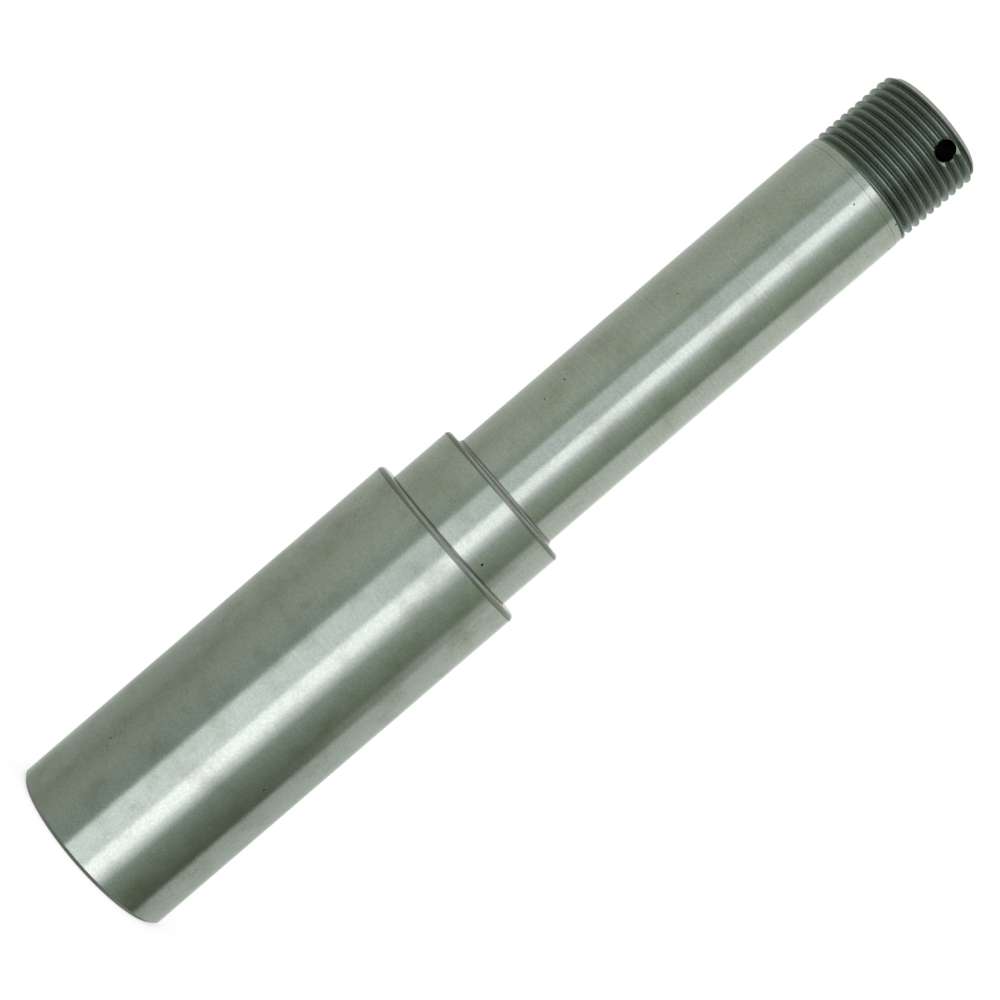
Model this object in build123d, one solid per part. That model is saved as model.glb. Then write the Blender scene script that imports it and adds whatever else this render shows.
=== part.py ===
from build123d import *
import os
from math import cos, radians, sin, tan

# Stepped shaft with a nut thread: one piece of round steel bar, turned, ground on its seats, threaded and
# cross-drilled. Millimetres. The shaft stands on its large plain end with the thread uppermost, and the
# origin is the centre of the large end. The split-pin hole runs along Y.

# Body, which its carrier holds
body_diameter = 38.1
body_length = 88.9
body_end_chamfer = 0.8
body_shoulder_round = 1.2

# Collar, which carries a seal
collar_diameter = 31.75
collar_length = 13.7
collar_edge_round = 1.0

# Journal, which carries the bearings
journal_diameter = 25.4
journal_length = 86.45
journal_root_fillet = 0.8

# Shank of the threaded end, turned a little under the journal
thread_shank_diameter = 25.2
threaded_end_length = 20.5

# Thread: 1 inch, 14 to the inch, right-hand, 60 degree V
thread_diameter = 25.15
thread_length = 19.05
thread_pitch = 25.4 / 14
thread_depth = 1.11
thread_angle = 60
thread_start_angle = 163
thread_end_chamfer = 1.3
run_out_angle = 35

# Split-pin hole, right through the threaded end
pin_hole_diameter = 4.37
pin_hole_from_end = 3.9

# How far a helper solid reaches past the surface that it meets
overlap = 0.5
# Straight pieces that each flank's curve is drawn through
flank_steps = 5

# Heights above the large end
shoulder_height = body_length
collar_top_height = shoulder_height + collar_length
shank_height = collar_top_height + journal_length
overall_length = shank_height + threaded_end_length
thread_start_height = overall_length - thread_length


def corner(section, diameter, height):
    """The corner of a half section at one rim."""
    return section.vertices().sort_by_distance((diameter / 2, 0, height))[0]


def half_section():
    """The shaft from its centre line out, as far as the thread's run-out, which is a cone inside the thread."""
    core_radius = thread_diameter / 2 - thread_depth - overlap
    run_out_height = (thread_shank_diameter / 2 - core_radius) / tan(radians(run_out_angle))
    outline = Polyline(
        (0, 0, 0),
        (body_diameter / 2, 0, 0),
        (body_diameter / 2, 0, shoulder_height),
        (collar_diameter / 2, 0, shoulder_height),
        (collar_diameter / 2, 0, collar_top_height),
        (journal_diameter / 2, 0, collar_top_height),
        (journal_diameter / 2, 0, shank_height),
        (thread_shank_diameter / 2, 0, shank_height),
        (thread_shank_diameter / 2, 0, thread_start_height),
        (core_radius, 0, thread_start_height + run_out_height),
        (0, 0, thread_start_height + run_out_height),
        close=True,
    )
    section = make_face(outline)
    section = chamfer(corner(section, body_diameter, 0), body_end_chamfer)
    section = fillet(corner(section, body_diameter, shoulder_height), body_shoulder_round)
    section = fillet(corner(section, collar_diameter, collar_top_height), collar_edge_round)
    return fillet(corner(section, journal_diameter, collar_top_height), journal_root_fillet)


def at(radius, angle):
    """A point square to the shaft, by its radius and its angle in degrees."""
    return (radius * cos(radians(angle)), radius * sin(radians(angle)))


def flank(first_angle, last_angle):
    """A straight flank of the V, which is a spiral when it is cut square to the shaft."""
    crest = thread_diameter / 2
    shares = [step / flank_steps for step in range(flank_steps + 1)]
    points = [at(crest - thread_depth * s, first_angle + (last_angle - first_angle) * s) for s in shares]
    return Spline(*points)


def thread_section():
    """The thread cut square to the shaft: one crest arc, one root arc and the two flanks between."""
    crest = thread_diameter / 2
    crest_angle = 360 / 8
    flank_width = thread_depth * tan(radians(thread_angle / 2))
    root_start = crest_angle / 2 + 360 * flank_width / thread_pitch
    crest_arc = CenterArc((0, 0), crest, -crest_angle / 2, crest_angle)
    root_arc = CenterArc((0, 0), crest - thread_depth, root_start, 360 - 2 * root_start)
    rising = flank(crest_angle / 2, root_start)
    falling = flank(-crest_angle / 2, -root_start)
    return make_face(crest_arc + rising + root_arc + falling)


def thread_envelope():
    """The chamfered end that the thread is cut on. It clears the crests everywhere but at the chamfer."""
    clear_radius = thread_diameter / 2 + thread_end_chamfer
    low = thread_start_height - overlap
    outline = Polyline(
        (0, 0, low),
        (clear_radius, 0, low),
        (clear_radius, 0, overall_length - 2 * thread_end_chamfer),
        (thread_diameter / 2 - thread_end_chamfer, 0, overall_length),
        (0, 0, overall_length),
        close=True,
    )
    return revolve(make_face(outline), Axis.Z)


def thread():
    """The thread with its core: its section, turned once to a pitch as it rises, and trimmed to the chamfer."""
    height = thread_length + 2 * overlap
    turns = height / thread_pitch
    section = Rot(0, 0, thread_start_angle) * thread_section()
    rod = Solid.extrude_linear_with_rotation(section.face(), (0, 0, 0), (0, 0, height), 360 * turns)
    return Pos(0, 0, thread_start_height - overlap) * rod & thread_envelope()


def pin_hole():
    height = overall_length - pin_hole_from_end
    return Pos(0, 0, height) * Rot(90, 0, 0) * Cylinder(pin_hole_diameter / 2, 2 * thread_diameter)


def shaft():
    blank = revolve(half_section(), Axis.Z)
    return blank + thread() - pin_hole()


os.makedirs("parts", exist_ok=True)
export_step(shaft(), "parts/shaft.step")
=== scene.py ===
from math import cos, pi, radians, sin, tan

import bmesh
import bpy
from mathutils import Matrix, Vector

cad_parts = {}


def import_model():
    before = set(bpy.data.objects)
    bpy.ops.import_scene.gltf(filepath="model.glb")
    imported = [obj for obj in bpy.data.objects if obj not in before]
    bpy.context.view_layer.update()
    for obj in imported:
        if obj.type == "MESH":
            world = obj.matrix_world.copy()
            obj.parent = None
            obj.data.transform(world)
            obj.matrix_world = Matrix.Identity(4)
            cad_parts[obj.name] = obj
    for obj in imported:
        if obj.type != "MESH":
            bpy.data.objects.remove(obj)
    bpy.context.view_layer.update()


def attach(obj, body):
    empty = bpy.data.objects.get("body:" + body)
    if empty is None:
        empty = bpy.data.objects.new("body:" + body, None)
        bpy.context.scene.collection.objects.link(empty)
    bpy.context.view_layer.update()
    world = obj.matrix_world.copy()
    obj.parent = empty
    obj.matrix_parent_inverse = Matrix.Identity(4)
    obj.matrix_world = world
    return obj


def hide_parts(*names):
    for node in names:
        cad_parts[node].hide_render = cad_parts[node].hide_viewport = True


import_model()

MM = 0.001

# Sizes along the shaft, the same as its source has, in metres
BODY_RADIUS = 19.05 * MM
BODY_TOP = 88.9 * MM
BODY_END_CHAMFER = 0.8 * MM
BODY_SHOULDER_ROUND = 1.2 * MM
COLLAR_RADIUS = 15.875 * MM
COLLAR_TOP = BODY_TOP + 13.7 * MM
COLLAR_EDGE_ROUND = 1.0 * MM
JOURNAL_RADIUS = 12.7 * MM
JOURNAL_TOP = COLLAR_TOP + 86.45 * MM
JOURNAL_ROOT_FILLET = 0.8 * MM
SHANK_RADIUS = 12.6 * MM
SHAFT_TOP = JOURNAL_TOP + 20.5 * MM
THREAD_RADIUS = 12.575 * MM
THREAD_START = SHAFT_TOP - 19.05 * MM
PITCH = 25.4 / 14 * MM
THREAD_DEPTH = 1.11 * MM
THREAD_START_ANGLE = radians(163)
THREAD_END_CHAMFER = 1.3 * MM
RUN_OUT_ANGLE = radians(35)
FLANK_LEAN = radians(30)
CREST_FLAT = PITCH / 8
PIN_HOLE_RADIUS = 2.185 * MM
PIN_HOLE_HEIGHT = SHAFT_TOP - 3.9 * MM
PIN_HOLE_MOUTH_RADIUS = 3.0 * MM

ROUND_STEPS = 256
DRILL_STEPS = 64
RIM_STEPS = 8
# Points this close are one point. The screw surface drifts a little as it is spun, so its seam has a longer
# reach.
SAME_POINT = 0.0001 * MM
SEAM_REACH = 0.005 * MM


# ---------------------------------------------------------------- mesh helpers


def arc(centre, radius, first, last):
    """Points of a rim's rounding in the half section, by angle in degrees."""
    turns = [radians(first + (last - first) * i / RIM_STEPS) for i in range(RIM_STEPS + 1)]
    return [(centre[0] + radius * cos(t), centre[1] + radius * sin(t)) for t in turns]


def turned(outline, steps=ROUND_STEPS):
    """A closed solid of revolution from a half section that starts and ends on the centre line."""
    bm = bmesh.new()
    verts = [bm.verts.new((r, 0, z)) for r, z in outline]
    edges = [bm.edges.new(pair) for pair in zip(verts, verts[1:])]
    bmesh.ops.spin(bm, geom=verts + edges, cent=(0, 0, 0), axis=(0, 0, 1), angle=2 * pi, steps=steps,
                   use_merge=True, use_duplicate=False)
    bmesh.ops.remove_doubles(bm, verts=bm.verts, dist=SAME_POINT)
    bmesh.ops.recalc_face_normals(bm, faces=bm.faces)
    return bm


def as_object(bm, name):
    """The mesh as an object of its own, at the origin and unturned."""
    mesh = bpy.data.meshes.new(name)
    bm.to_mesh(mesh)
    bm.free()
    piece = bpy.data.objects.new(name, mesh)
    bpy.context.collection.objects.link(piece)
    return piece


def combine(piece, tool, operation):
    """Joins, trims or cuts a piece with a tool, and takes the tool away."""
    modifier = piece.modifiers.new(operation.lower(), "BOOLEAN")
    modifier.operation = operation
    modifier.solver = "EXACT"
    modifier.object = tool
    graph = bpy.context.evaluated_depsgraph_get()
    made = bpy.data.meshes.new_from_object(piece.evaluated_get(graph))
    piece.modifiers.clear()
    piece.data = made
    bpy.data.objects.remove(tool)
    return piece


# ---------------------------------------------------------------- the shaft


def blank():
    """The turned bar up to the thread's run-out, which is a cone that stays inside the thread."""
    core = THREAD_RADIUS - THREAD_DEPTH - 0.5 * MM
    run_out_top = THREAD_START + (SHANK_RADIUS - core) / tan(RUN_OUT_ANGLE)
    shoulder = (BODY_RADIUS - BODY_SHOULDER_ROUND, BODY_TOP - BODY_SHOULDER_ROUND)
    collar_edge = (COLLAR_RADIUS - COLLAR_EDGE_ROUND, COLLAR_TOP - COLLAR_EDGE_ROUND)
    root = (JOURNAL_RADIUS + JOURNAL_ROOT_FILLET, COLLAR_TOP + JOURNAL_ROOT_FILLET)
    outline = [(0, 0), (BODY_RADIUS - BODY_END_CHAMFER, 0), (BODY_RADIUS, BODY_END_CHAMFER)]
    outline += arc(shoulder, BODY_SHOULDER_ROUND, 0, 90)
    outline += [(COLLAR_RADIUS, BODY_TOP)]
    outline += arc(collar_edge, COLLAR_EDGE_ROUND, 0, 90)
    outline += arc(root, JOURNAL_ROOT_FILLET, 270, 180)
    outline += [
        (JOURNAL_RADIUS, JOURNAL_TOP),
        (SHANK_RADIUS, JOURNAL_TOP),
        (SHANK_RADIUS, THREAD_START),
        (core, run_out_top),
        (0, run_out_top),
    ]
    return as_object(turned(outline), "turned_shaft")


def thread_rod():
    """The thread as a screw surface: its V outline, turned once round while it rises by one pitch."""
    half_crest = CREST_FLAT / 2
    half_root = PITCH / 2 - half_crest - THREAD_DEPTH * tan(FLANK_LEAN)
    first = THREAD_START - 2 * PITCH
    turns = int((SHAFT_TOP - first) / PITCH) + 2
    crest, root = THREAD_RADIUS, THREAD_RADIUS - THREAD_DEPTH
    outline = []
    for turn in range(turns):
        middle = first + turn * PITCH
        outline += [
            (crest, middle - half_crest),
            (crest, middle + half_crest),
            (root, middle + PITCH / 2 - half_root),
            (root, middle + PITCH / 2 + half_root),
        ]
    bm = bmesh.new()
    verts = [bm.verts.new((r, 0, z)) for r, z in outline]
    edges = [bm.edges.new(pair) for pair in zip(verts, verts[1:])]
    bmesh.ops.spin(bm, geom=verts + edges, cent=(0, 0, 0), axis=(0, 0, 1), dvec=(0, 0, PITCH / ROUND_STEPS),
                   angle=2 * pi, steps=ROUND_STEPS, use_merge=False, use_duplicate=False)
    bmesh.ops.remove_doubles(bm, verts=bm.verts, dist=SEAM_REACH)
    # Each open end climbs by one pitch round the rod, and is closed with a fan of faces
    end_reach = 1.6 * PITCH
    for z in (first, first + turns * PITCH):
        rim = [e for e in bm.edges if e.is_boundary and abs(e.verts[0].co.z - z) < end_reach]
        centre = bm.verts.new((0, 0, z))
        for edge in rim:
            bm.faces.new((edge.verts[0], edge.verts[1], centre))
    bmesh.ops.recalc_face_normals(bm, faces=bm.faces)
    bmesh.ops.rotate(bm, verts=bm.verts, cent=(0, 0, 0), matrix=Matrix.Rotation(THREAD_START_ANGLE, 3, "Z"))
    return as_object(bm, "thread_rod")


def thread_envelope():
    """The chamfered end that the thread is trimmed to."""
    clear = THREAD_RADIUS + THREAD_END_CHAMFER
    low = THREAD_START - 0.5 * MM
    outline = [
        (0, low),
        (clear, low),
        (clear, SHAFT_TOP - 2 * THREAD_END_CHAMFER),
        (THREAD_RADIUS - THREAD_END_CHAMFER, SHAFT_TOP),
        (0, SHAFT_TOP),
    ]
    return as_object(turned(outline), "thread_envelope")


def pin_hole_drill():
    """The split pin's drill, with a countersink for the hole's mouth at each side."""
    flare = PIN_HOLE_MOUTH_RADIUS - PIN_HOLE_RADIUS
    reach = THREAD_RADIUS + 1 * MM
    wide = PIN_HOLE_MOUTH_RADIUS + reach - THREAD_RADIUS
    half = [(wide, reach), (PIN_HOLE_RADIUS, THREAD_RADIUS - flare)]
    outline = [(0, reach)] + half + [(r, -z) for r, z in reversed(half)] + [(0, -reach)]
    bm = turned(outline, DRILL_STEPS)
    bmesh.ops.rotate(bm, verts=bm.verts, cent=(0, 0, 0), matrix=Matrix.Rotation(radians(90), 3, "X"))
    bmesh.ops.translate(bm, verts=bm.verts, vec=(0, 0, PIN_HOLE_HEIGHT))
    return as_object(bm, "pin_hole_drill")


def hole_side(face):
    """How far a face lies from the split-pin hole's axis, and how squarely it faces that axis."""
    centre = face.center
    from_axis = Vector((centre.x, 0, centre.z - PIN_HOLE_HEIGHT))
    return from_axis.length, -face.normal.dot(from_axis.normalized())


def finish_of(face):
    """The finish that a face of the shaft has, by where it lies and how it leans."""
    z = face.center.z
    upright = abs(face.normal.z)
    from_hole, towards_hole = hole_side(face)
    in_hole = from_hole < PIN_HOLE_RADIUS * 1.02
    in_mouth = from_hole < PIN_HOLE_MOUTH_RADIUS * 1.1 and abs(face.normal.y) > 0.4
    by_an_end_or_ledge = z > SHAFT_TOP - 0.1 * MM or z < BODY_TOP + 0.1 * MM
    if in_hole and towards_hole > 0.95:
        return "drilled_hole"
    if in_mouth and 0.6 < towards_hole < 0.8:
        return "deburred_mouth"
    if upright > 0.98 and by_an_end_or_ledge:
        return "faced_steel"
    if z > SHAFT_TOP - THREAD_END_CHAMFER and abs(upright - 0.707) < 0.02:
        return "turned_rim"
    if z > THREAD_START:
        return "cut_thread"
    if z < BODY_END_CHAMFER:
        return "oily_edge"
    if upright > 0.05:
        return "turned_rim"
    return "bar_steel" if z < BODY_TOP else "ground_steel"


def shaft():
    """The whole shaft: the blank and its thread joined, cross-drilled, and given a finish face by face."""
    thread = combine(thread_rod(), thread_envelope(), "INTERSECT")
    piece = combine(blank(), thread, "UNION")
    piece = combine(piece, pin_hole_drill(), "DIFFERENCE")
    finishes = [bar_steel(), ground_steel(), cut_thread(), turned_rim(), faced_steel(), oily_edge(),
                deburred_mouth(), drilled_hole()]
    piece.data.materials.clear()
    for finish in finishes:
        piece.data.materials.append(finish)
    names = [finish.name for finish in finishes]
    for face in piece.data.polygons:
        face.material_index = names.index(finish_of(face))
    piece.data.shade_smooth()
    piece.data.set_sharp_from_angle(angle=radians(20))
    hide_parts("shaft")
    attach(piece, "root")


# ---------------------------------------------------------------- nodes


def linear(hex_colour):
    """An sRGB hex colour as the linear colour that a socket takes."""
    parts = [int(hex_colour[i:i + 2], 16) / 255 for i in (1, 3, 5)]
    return tuple(c / 12.92 if c <= 0.04045 else ((c + 0.055) / 1.055) ** 2.4 for c in parts) + (1.0,)


def node(tree, kind, settings=None, **inputs):
    """Adds a node with its settings. Each input, a name or i and a number, gets a value or a link."""
    made = tree.nodes.new(kind)
    for name, value in (settings or {}).items():
        setattr(made, name, value)
    for name, value in inputs.items():
        numbered = name[0] == "i" and name[1:].isdigit()
        socket = made.inputs[int(name[1:]) if numbered else name.replace("_", " ")]
        if isinstance(value, bpy.types.NodeSocket):
            tree.links.new(value, socket)
        else:
            socket.default_value = value
    return made


def new_material(name):
    material = bpy.data.materials.new(name)
    material.use_nodes = True
    material.node_tree.nodes.clear()
    return material, material.node_tree


def maths(tree, operation, *values):
    """The result of one sum on values or links."""
    inputs = {"i" + str(i): value for i, value in enumerate(values)}
    return node(tree, "ShaderNodeMath", {"operation": operation}, **inputs).outputs[0]


def carried(tree, value, from_min, from_max, to_min=0.0, to_max=1.0):
    """A value carried from one range to another, and held at the ends."""
    return node(tree, "ShaderNodeMapRange", {}, Value=value, From_Min=from_min, From_Max=from_max,
                To_Min=to_min, To_Max=to_max).outputs[0]


def noise(tree, place, size, detail, roughness=0.5):
    """Even noise, with grains of about the given size."""
    return node(tree, "ShaderNodeTexNoise", {}, Vector=place, Scale=1 / size, Detail=detail,
                Roughness=roughness).outputs["Fac"]


def tool_rings(tree, distance, spacing):
    """Noise that changes only with one distance, as the rings that a lathe tool leaves."""
    along = maths(tree, "MULTIPLY", distance, 1 / spacing)
    return node(tree, "ShaderNodeTexNoise", {"noise_dimensions": "1D"}, W=along, Scale=1.0, Detail=3.0,
                Roughness=0.7).outputs["Fac"]


def mixed(tree, share, first, second):
    return node(tree, "ShaderNodeMix", {"data_type": "RGBA"}, Factor=share, i6=first, i7=second).outputs[2]


def scaled(tree, colour, scale):
    return node(tree, "ShaderNodeVectorMath", {"operation": "SCALE"}, i0=colour, Scale=scale).outputs[0]


def ramp(tree, value, stops):
    """A colour by a value from 0 to 1, through stops of position and colour."""
    made = node(tree, "ShaderNodeValToRGB", {}, Fac=value)
    for _ in range(len(stops) - 2):
        made.color_ramp.elements.new(0.5)
    for element, (position, colour) in zip(made.color_ramp.elements, stops):
        element.position = position
        element.color = linear(colour)
    return made.outputs["Color"]


def bump(tree, height, strength, distance, **under):
    """The normal of a fine relief, laid over another normal if one is given."""
    return node(tree, "ShaderNodeBump", {}, Strength=strength, Distance=distance, Height=height,
                **under).outputs["Normal"]


def out_from_centre(tree, place):
    """How far a point lies from the shaft's centre line."""
    flat = node(tree, "ShaderNodeVectorMath", {"operation": "MULTIPLY"}, i0=place, i1=(1, 1, 0)).outputs[0]
    return node(tree, "ShaderNodeVectorMath", {"operation": "LENGTH"}, i0=flat).outputs["Value"]


def as_metal(tree, colour, roughness, normal, **more):
    """Ends a material's nodes with a bare metal surface."""
    shader = node(tree, "ShaderNodeBsdfPrincipled", {}, Base_Color=colour, Metallic=1.0,
                  Roughness=roughness, Normal=normal, **more)
    node(tree, "ShaderNodeOutputMaterial", {}, Surface=shader.outputs["BSDF"])


# ---------------------------------------------------------------- materials

SEAT_COLOUR = "#C9CAC7"
STAIN_COLOUR = "#8E8872"
# Dark of pits and specks, also used as painted shade in the body's inner corner
PIT_AND_SHADE_COLOUR = "#2A2B24"

# Single pits: height above the large end in millimetres, bearing round the shaft in degrees and size in
# millimetres
PITS = [
    (91.1, -88.6, 0.42), (186.0, -108.8, 0.28), (190.4, -66.8, 0.4), (187.5, -41.3, 0.55),
    (124.9, -159.3, 0.3), (119.7, -156.9, 0.28), (151.0, -150.0, 0.22), (34.0, -75.0, 0.3),
]
# Patches of fine specks, given in the same way by their reach
SPECK_PATCHES = [
    (81.4, -179.0, 4.0), (79.5, -168.0, 3.0), (81.3, -64.5, 5.0), (77.0, -58.0, 4.0),
    (14.3, -63.5, 4.0), (9.0, -64.0, 2.5), (20.0, -160.0, 6.0), (33.0, -150.0, 5.0),
    (50.0, -170.0, 5.0), (122.0, -158.0, 4.0), (170.0, -165.0, 4.0), (183.0, -60.0, 3.0),
]


def radius_at(height):
    """The shaft's radius at a height, up to the thread."""
    if height < BODY_TOP:
        return BODY_RADIUS
    return COLLAR_RADIUS if height < COLLAR_TOP else JOURNAL_RADIUS


def on_surface(height, bearing):
    """A point on the shaft's surface, by its height and its bearing round the shaft in degrees."""
    radius = radius_at(height)
    return (radius * cos(radians(bearing)), radius * sin(radians(bearing)), height)


def spot_mask(tree, place, spots, softness):
    """How far inside any of the spots a point is, from 0 at their ragged edge to 1."""
    wobble = noise(tree, place, 0.5 * MM, 2.0)
    mask = None
    for height_mm, bearing, size_mm in spots:
        away = node(tree, "ShaderNodeVectorMath", {"operation": "DISTANCE"}, i0=place,
                    i1=on_surface(height_mm * MM, bearing)).outputs["Value"]
        ragged = maths(tree, "MULTIPLY_ADD", wobble, 0.6 * size_mm * MM, away)
        edge = 1.1 * size_mm * MM
        inside = carried(tree, ragged, edge, edge * (1 - softness))
        mask = inside if mask is None else maths(tree, "MAXIMUM", mask, inside)
    return mask


def line_mask(tree, height, line, outer, inner, depth):
    """A line round the shaft at one height, at full depth within the inner reach and gone at the outer."""
    away = maths(tree, "ABSOLUTE", maths(tree, "SUBTRACT", height, line))
    return carried(tree, away, outer, inner, 0.0, depth)


def wear_mask(tree, place, height):
    """Where the steel is dark: pits, patches of specks, the journal's end line, and painted shade in the
    body's inner corner.
    """
    pits = spot_mask(tree, place, PITS, 0.4)
    patches = spot_mask(tree, place, SPECK_PATCHES, 0.9)
    specks = carried(tree, noise(tree, place, 0.8 * MM, 4.0, 0.7), 0.57, 0.66)
    specks = maths(tree, "MULTIPLY", maths(tree, "MULTIPLY", specks, patches), 0.75)
    end_line = line_mask(tree, height, JOURNAL_TOP, 0.28 * MM, 0.0, 0.3)
    # Painted shade: a dark line at the collar's foot, in the body's inner corner
    corner = line_mask(tree, height, BODY_TOP, 0.35 * MM, 0.1 * MM, 0.75)
    lines = maths(tree, "MAXIMUM", end_line, corner)
    return maths(tree, "MAXIMUM", maths(tree, "MAXIMUM", specks, pits), lines)


def steel_surface(name, colour, roughness, ring_spacing, ring_strength, stain_strength, worn_and_shaded):
    """Bare machined steel: rings left by the tool, a fine grain, brown-green handling stains and, where it
    is worn, dark pits and specks, with painted shade in the body's inner corner. The eye gets a bright streak
    along the shaft, a painted reflection from the glowing ring, broken by the grain."""
    material, tree = new_material(name)
    place = node(tree, "ShaderNodeTexCoord").outputs["Object"]
    height = node(tree, "ShaderNodeSeparateXYZ", {}, Vector=place).outputs["Z"]
    rings = tool_rings(tree, height, ring_spacing)
    grain = noise(tree, place, 0.45 * MM, 3.0, 0.65)
    cloud = noise(tree, place, 7 * MM, 4.0, 0.6)
    stain = carried(tree, cloud, 0.48, 0.72, 0.0, stain_strength)
    ring_shade = carried(tree, rings, 0.25, 0.75, 1 - ring_strength, 1 + ring_strength)
    grain_shade = carried(tree, grain, 0.25, 0.75, 0.85, 1.15)
    stained = mixed(tree, stain, linear(colour), linear(STAIN_COLOUR))
    shaded = scaled(tree, stained, maths(tree, "MULTIPLY", ring_shade, grain_shade))
    if worn_and_shaded:
        # Pits and specks, and painted shade in the body's inner corner, mixed in dark
        shaded = mixed(tree, wear_mask(tree, place, height), shaded, linear(PIT_AND_SHADE_COLOUR))
    rough = carried(tree, cloud, 0.3, 0.75, roughness * 0.85, roughness * 1.35)
    ring_relief = bump(tree, rings, 0.3, 0.02 * ring_spacing)
    relief = bump(tree, grain, 0.35, 0.012 * MM, Normal=ring_relief)
    as_metal(tree, shaded, rough, relief)
    return material


def bar_steel():
    """Bright drawn bar, cleaned up on the lathe: smooth, with the most stains and specks."""
    return steel_surface("bar_steel", SEAT_COLOUR, 0.13, 0.9 * MM, 0.02, 0.35, worn_and_shaded=True)


def ground_steel():
    """Seats ground for a seal and bearings: close rings that catch the light across the shaft."""
    return steel_surface("ground_steel", SEAT_COLOUR, 0.14, 0.5 * MM, 0.06, 0.25, worn_and_shaded=True)


def turned_rim():
    """Rims and fillets left from the tool's nose: duller than the seats beside them, and darker in colour as
    painted shade on the rounds and in the fillets.
    """
    return steel_surface("turned_rim", "#8D918B", 0.3, 0.3 * MM, 0.06, 0.3, worn_and_shaded=False)


def deburred_mouth():
    """Mouth of the cross hole, freshly cut: it stands out light against the dark thread."""
    return steel_surface("deburred_mouth", "#A0A49D", 0.35, 0.3 * MM, 0.05, 0.1, worn_and_shaded=False)


def oily_edge():
    """The large end's chamfer, darker than the bar beside it."""
    return steel_surface("oily_edge", "#565B54", 0.35, 0.3 * MM, 0.05, 0.2, worn_and_shaded=False)


def faced_steel():
    """Flat faces cut on the lathe: fine rings about the centre that fan the light."""
    material, tree = new_material("faced_steel")
    place = node(tree, "ShaderNodeTexCoord").outputs["Object"]
    rings = tool_rings(tree, out_from_centre(tree, place), 0.35 * MM)
    tone = ramp(tree, rings, [(0.3, "#8E928B"), (0.7, "#BABDB8")])
    rough = carried(tree, noise(tree, place, 6 * MM, 4.0), 0.0, 1.0, 0.22, 0.42)
    relief = bump(tree, rings, 0.5, 0.01 * MM)
    turning = node(tree, "ShaderNodeTangent", {"direction_type": "RADIAL", "axis": "Z"}).outputs["Tangent"]
    as_metal(tree, tone, rough, relief, Tangent=turning, Anisotropic=0.6)
    return material


def cut_thread():
    """A thread cut with a die, darker than the seats: grey flanks, thin lines at the crest, and a darker root
    that is painted shade at the bottom of the groove.
    """
    material, tree = new_material("cut_thread")
    place = node(tree, "ShaderNodeTexCoord").outputs["Object"]
    depth = carried(tree, out_from_centre(tree, place), THREAD_RADIUS - THREAD_DEPTH, THREAD_RADIUS)
    # The root's darker tone is painted shade at the bottom of the groove
    root, crest = [(0.0, "#5F6661"), (0.06, "#5F6661")], [(0.94, "#858C86"), (1.0, "#8F968F")]
    flank = [(0.14, "#939B94"), (0.85, "#979F98")]
    grain = noise(tree, place, 0.35 * MM, 4.0, 0.7)
    grain_shade = carried(tree, grain, 0.25, 0.75, 0.6, 1.4)
    shaded = scaled(tree, ramp(tree, depth, root + flank + crest), grain_shade)
    as_metal(tree, shaded, 0.38, bump(tree, grain, 0.5, 0.02 * MM))
    return material


def drilled_hole():
    """The cross hole's wall: rough from the drill, and near black as painted shade inside the hole."""
    material, tree = new_material("drilled_hole")
    place = node(tree, "ShaderNodeTexCoord").outputs["Object"]
    grain = noise(tree, place, 0.4 * MM, 3.0)
    # Near-black tones: painted shade inside the cross hole
    tone = ramp(tree, grain, [(0.0, "#0B0C0B"), (1.0, "#242624")])
    as_metal(tree, tone, 0.55, bump(tree, grain, 0.4, 0.03 * MM))
    return material


# ---------------------------------------------------------------- the studio

CAMERA_DISTANCE = 438 * MM
CAMERA_HEIGHT = 101.3 * MM
CAMERA_SHIFT = 0.5 * MM
CAMERA_ANGLE = radians(-116.3)
SHAFT_SLANT = radians(40.65)
LENS_MM = 83.4
SENSOR_MM = 36

WHITE = (1, 1, 1, 1)
WORLD_LIGHT = 0.9
STAGE_STEPS = 96
FLOOR_RADIUS = 3.0
FLOOR_GREY = (0.42, 0.42, 0.42, 1)
FLOOR_GLOW = (0.66, 0.66, 0.66, 1)
# A glowing ring that only reflections show: its colours are painted reflections on the metal
CARD_RADIUS = 1.0
CARD_BOTTOM = -0.8
CARD_HEIGHT = 2.0
REFLECTION_GLOW = 1.72
SOFTBOX_PLACE = (-0.6, -0.9, 1.3)

# Painted reflections: the glowing ring's colours by bearing from the camera, in degrees, as the bright streaks
# and shaded bands that the metal shows: level with the body, then level with the journal
PAINTED_REFLECTIONS_LOW = [
    (-180, "#F0F2F0"), (-160, "#969D96"), (-135, "#7F877E"), (-105, "#777F74"), (-90, "#6C7467"),
    (-60, "#767F73"), (-32, "#6F7C73"), (-23, "#6F7C73"), (-19, "#C6D1CC"), (0, "#C6D1CE"),
    (9, "#C2CCC9"), (12, "#F2F8F7"), (24, "#F0F6F5"), (33, "#BCC5C2"), (43, "#717F74"),
    (60, "#606C5D"), (75, "#555E50"), (94, "#444E40"), (100, "#89928A"), (125, "#939C93"),
    (152, "#949B95"), (166, "#ACB2AC"), (180, "#F0F2F0"),
]
PAINTED_REFLECTIONS_HIGH = [
    (-180, "#F0F2F0"), (-160, "#A0A6A0"), (-135, "#949B92"), (-105, "#868D82"), (-90, "#848B7E"),
    (-60, "#889183"), (-44, "#889386"), (-30, "#7B887C"), (-23, "#7B887C"), (-19, "#A2AEA8"),
    (0, "#A2AFAB"), (8, "#9CA9A4"), (11, "#E2EAE8"), (25, "#DEE6E5"), (32, "#B0B9B5"),
    (43, "#859186"), (60, "#758272"), (80, "#677363"), (88, "#A0A89F"), (110, "#A2AAA0"),
    (150, "#AAB0AA"), (166, "#C7CCC7"), (180, "#F0F2F0"),
]


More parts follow.
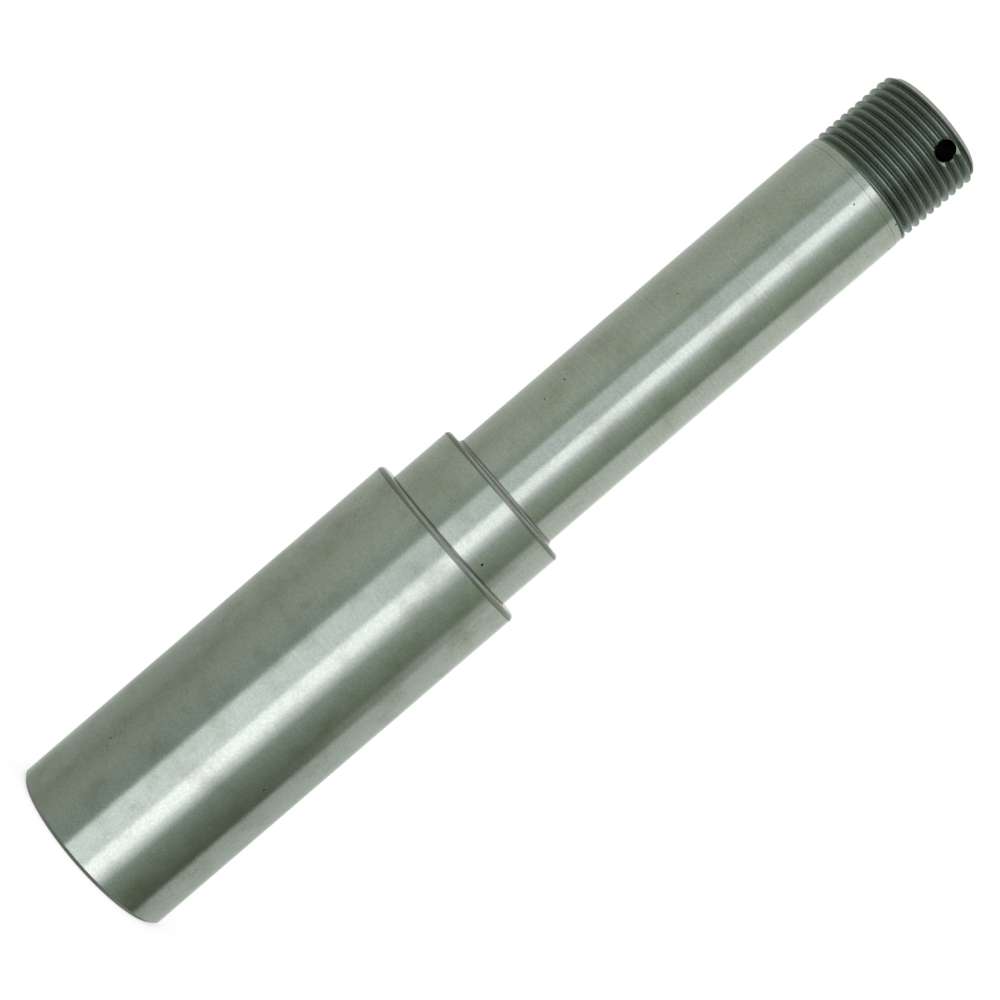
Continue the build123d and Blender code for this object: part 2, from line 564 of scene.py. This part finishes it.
def camera():
    """A camera square to the shaft, rolled so that the shaft runs from lower left to upper right."""
    back = Vector((cos(CAMERA_ANGLE), sin(CAMERA_ANGLE), 0))
    up = Vector((0, 0, 1))
    side = up.cross(back)
    right = cos(SHAFT_SLANT) * up + sin(SHAFT_SLANT) * side
    top = sin(SHAFT_SLANT) * up - cos(SHAFT_SLANT) * side
    data = bpy.data.cameras.new("camera")
    data.sensor_width = SENSOR_MM
    data.lens = LENS_MM
    made = bpy.data.objects.new("camera", data)
    turn = Matrix((right, top, back)).transposed().to_4x4()
    place = back * CAMERA_DISTANCE + side * CAMERA_SHIFT + up * CAMERA_HEIGHT
    made.matrix_world = Matrix.Translation(place) @ turn
    bpy.context.collection.objects.link(made)
    bpy.context.scene.camera = made


def world():
    """White to look at, directly or in a reflection, and a plain light on everything else."""
    scene_world = bpy.data.worlds.new("studio")
    bpy.context.scene.world = scene_world
    scene_world.use_nodes = True
    tree = scene_world.node_tree
    tree.nodes.clear()
    path = node(tree, "ShaderNodeLightPath")
    seen = maths(tree, "MAXIMUM", path.outputs["Is Camera Ray"], path.outputs["Is Glossy Ray"])
    seen = maths(tree, "MAXIMUM", seen, path.outputs["Is Transmission Ray"])
    light = node(tree, "ShaderNodeBackground", {}, Color=WHITE, Strength=WORLD_LIGHT)
    white = node(tree, "ShaderNodeBackground", {}, Color=WHITE, Strength=1.0)
    mix = node(tree, "ShaderNodeMixShader", {}, Fac=seen, i1=light.outputs[0], i2=white.outputs[0])
    node(tree, "ShaderNodeOutputWorld", {}, Surface=mix.outputs[0])


def card_panels(tree, bearing, panels):
    return ramp(tree, bearing, [((turn + 180) / 360, colour) for turn, colour in panels])


def surround():
    """A glowing ring round the shaft, which only polished metal shows: painted reflections, bright streaks and
    shaded bands by the bearing.
    """
    bm = bmesh.new()
    bmesh.ops.create_circle(bm, segments=STAGE_STEPS, radius=CARD_RADIUS)
    bmesh.ops.translate(bm, verts=bm.verts, vec=(0, 0, CARD_BOTTOM))
    made = bmesh.ops.extrude_edge_only(bm, edges=bm.edges)
    top = [v for v in made["geom"] if isinstance(v, bmesh.types.BMVert)]
    bmesh.ops.translate(bm, verts=top, vec=(0, 0, CARD_HEIGHT))
    ring = as_object(bm, "painted_reflection_ring")
    material, tree = new_material("painted_reflection_ring")
    place = node(tree, "ShaderNodeTexCoord").outputs["Object"]
    turn = node(tree, "ShaderNodeMapping", {}, Vector=place, Rotation=(0, 0, -CAMERA_ANGLE)).outputs["Vector"]
    bearing = node(tree, "ShaderNodeTexGradient", {"gradient_type": "RADIAL"}, Vector=turn).outputs["Fac"]
    level = node(tree, "ShaderNodeSeparateXYZ", {}, Vector=place).outputs["Z"]
    share = carried(tree, level, -0.1, 0.22)
    low_panels = card_panels(tree, bearing, PAINTED_REFLECTIONS_LOW)
    high_panels = card_panels(tree, bearing, PAINTED_REFLECTIONS_HIGH)
    panels = mixed(tree, share, low_panels, high_panels)
    # The ring glows with the painted reflections' colours
    glow = node(tree, "ShaderNodeEmission", {}, Color=panels, Strength=REFLECTION_GLOW)
    node(tree, "ShaderNodeOutputMaterial", {}, Surface=glow.outputs["Emission"])
    ring.data.materials.append(material)
    for ray in ("camera", "diffuse", "shadow", "transmission", "volume_scatter"):
        setattr(ring, "visible_" + ray, False)


def floor():
    """A pale floor that takes the shaft's shadow and reads as white beyond it."""
    bm = bmesh.new()
    bmesh.ops.create_circle(bm, cap_ends=True, segments=STAGE_STEPS, radius=FLOOR_RADIUS)
    made = as_object(bm, "floor")
    material, tree = new_material("pale_floor")
    lit = node(tree, "ShaderNodeBsdfDiffuse", {}, Color=FLOOR_GREY)
    seen = node(tree, "ShaderNodeLightPath").outputs["Is Camera Ray"]
    pale = node(tree, "ShaderNodeEmission", {}, Color=FLOOR_GLOW, Strength=seen)
    both = node(tree, "ShaderNodeAddShader", {}, i0=lit.outputs["BSDF"], i1=pale.outputs["Emission"])
    node(tree, "ShaderNodeOutputMaterial", {}, Surface=both.outputs["Shader"])
    made.data.materials.append(material)
    made.visible_glossy = False


def lamp():
    """One large softbox, above and to the left."""
    data = bpy.data.lights.new("softbox", "AREA")
    data.shape = "SQUARE"
    data.size = 1.0
    data.energy = 4.0
    made = bpy.data.objects.new("softbox", data)
    made.location = SOFTBOX_PLACE
    made.rotation_mode = "QUATERNION"
    made.rotation_quaternion = made.location.to_track_quat("Z", "Y")
    made.visible_glossy = False
    bpy.context.collection.objects.link(made)


shaft()
camera()
world()
surround()
floor()
lamp()
bpy.context.scene.view_settings.view_transform = "Standard"
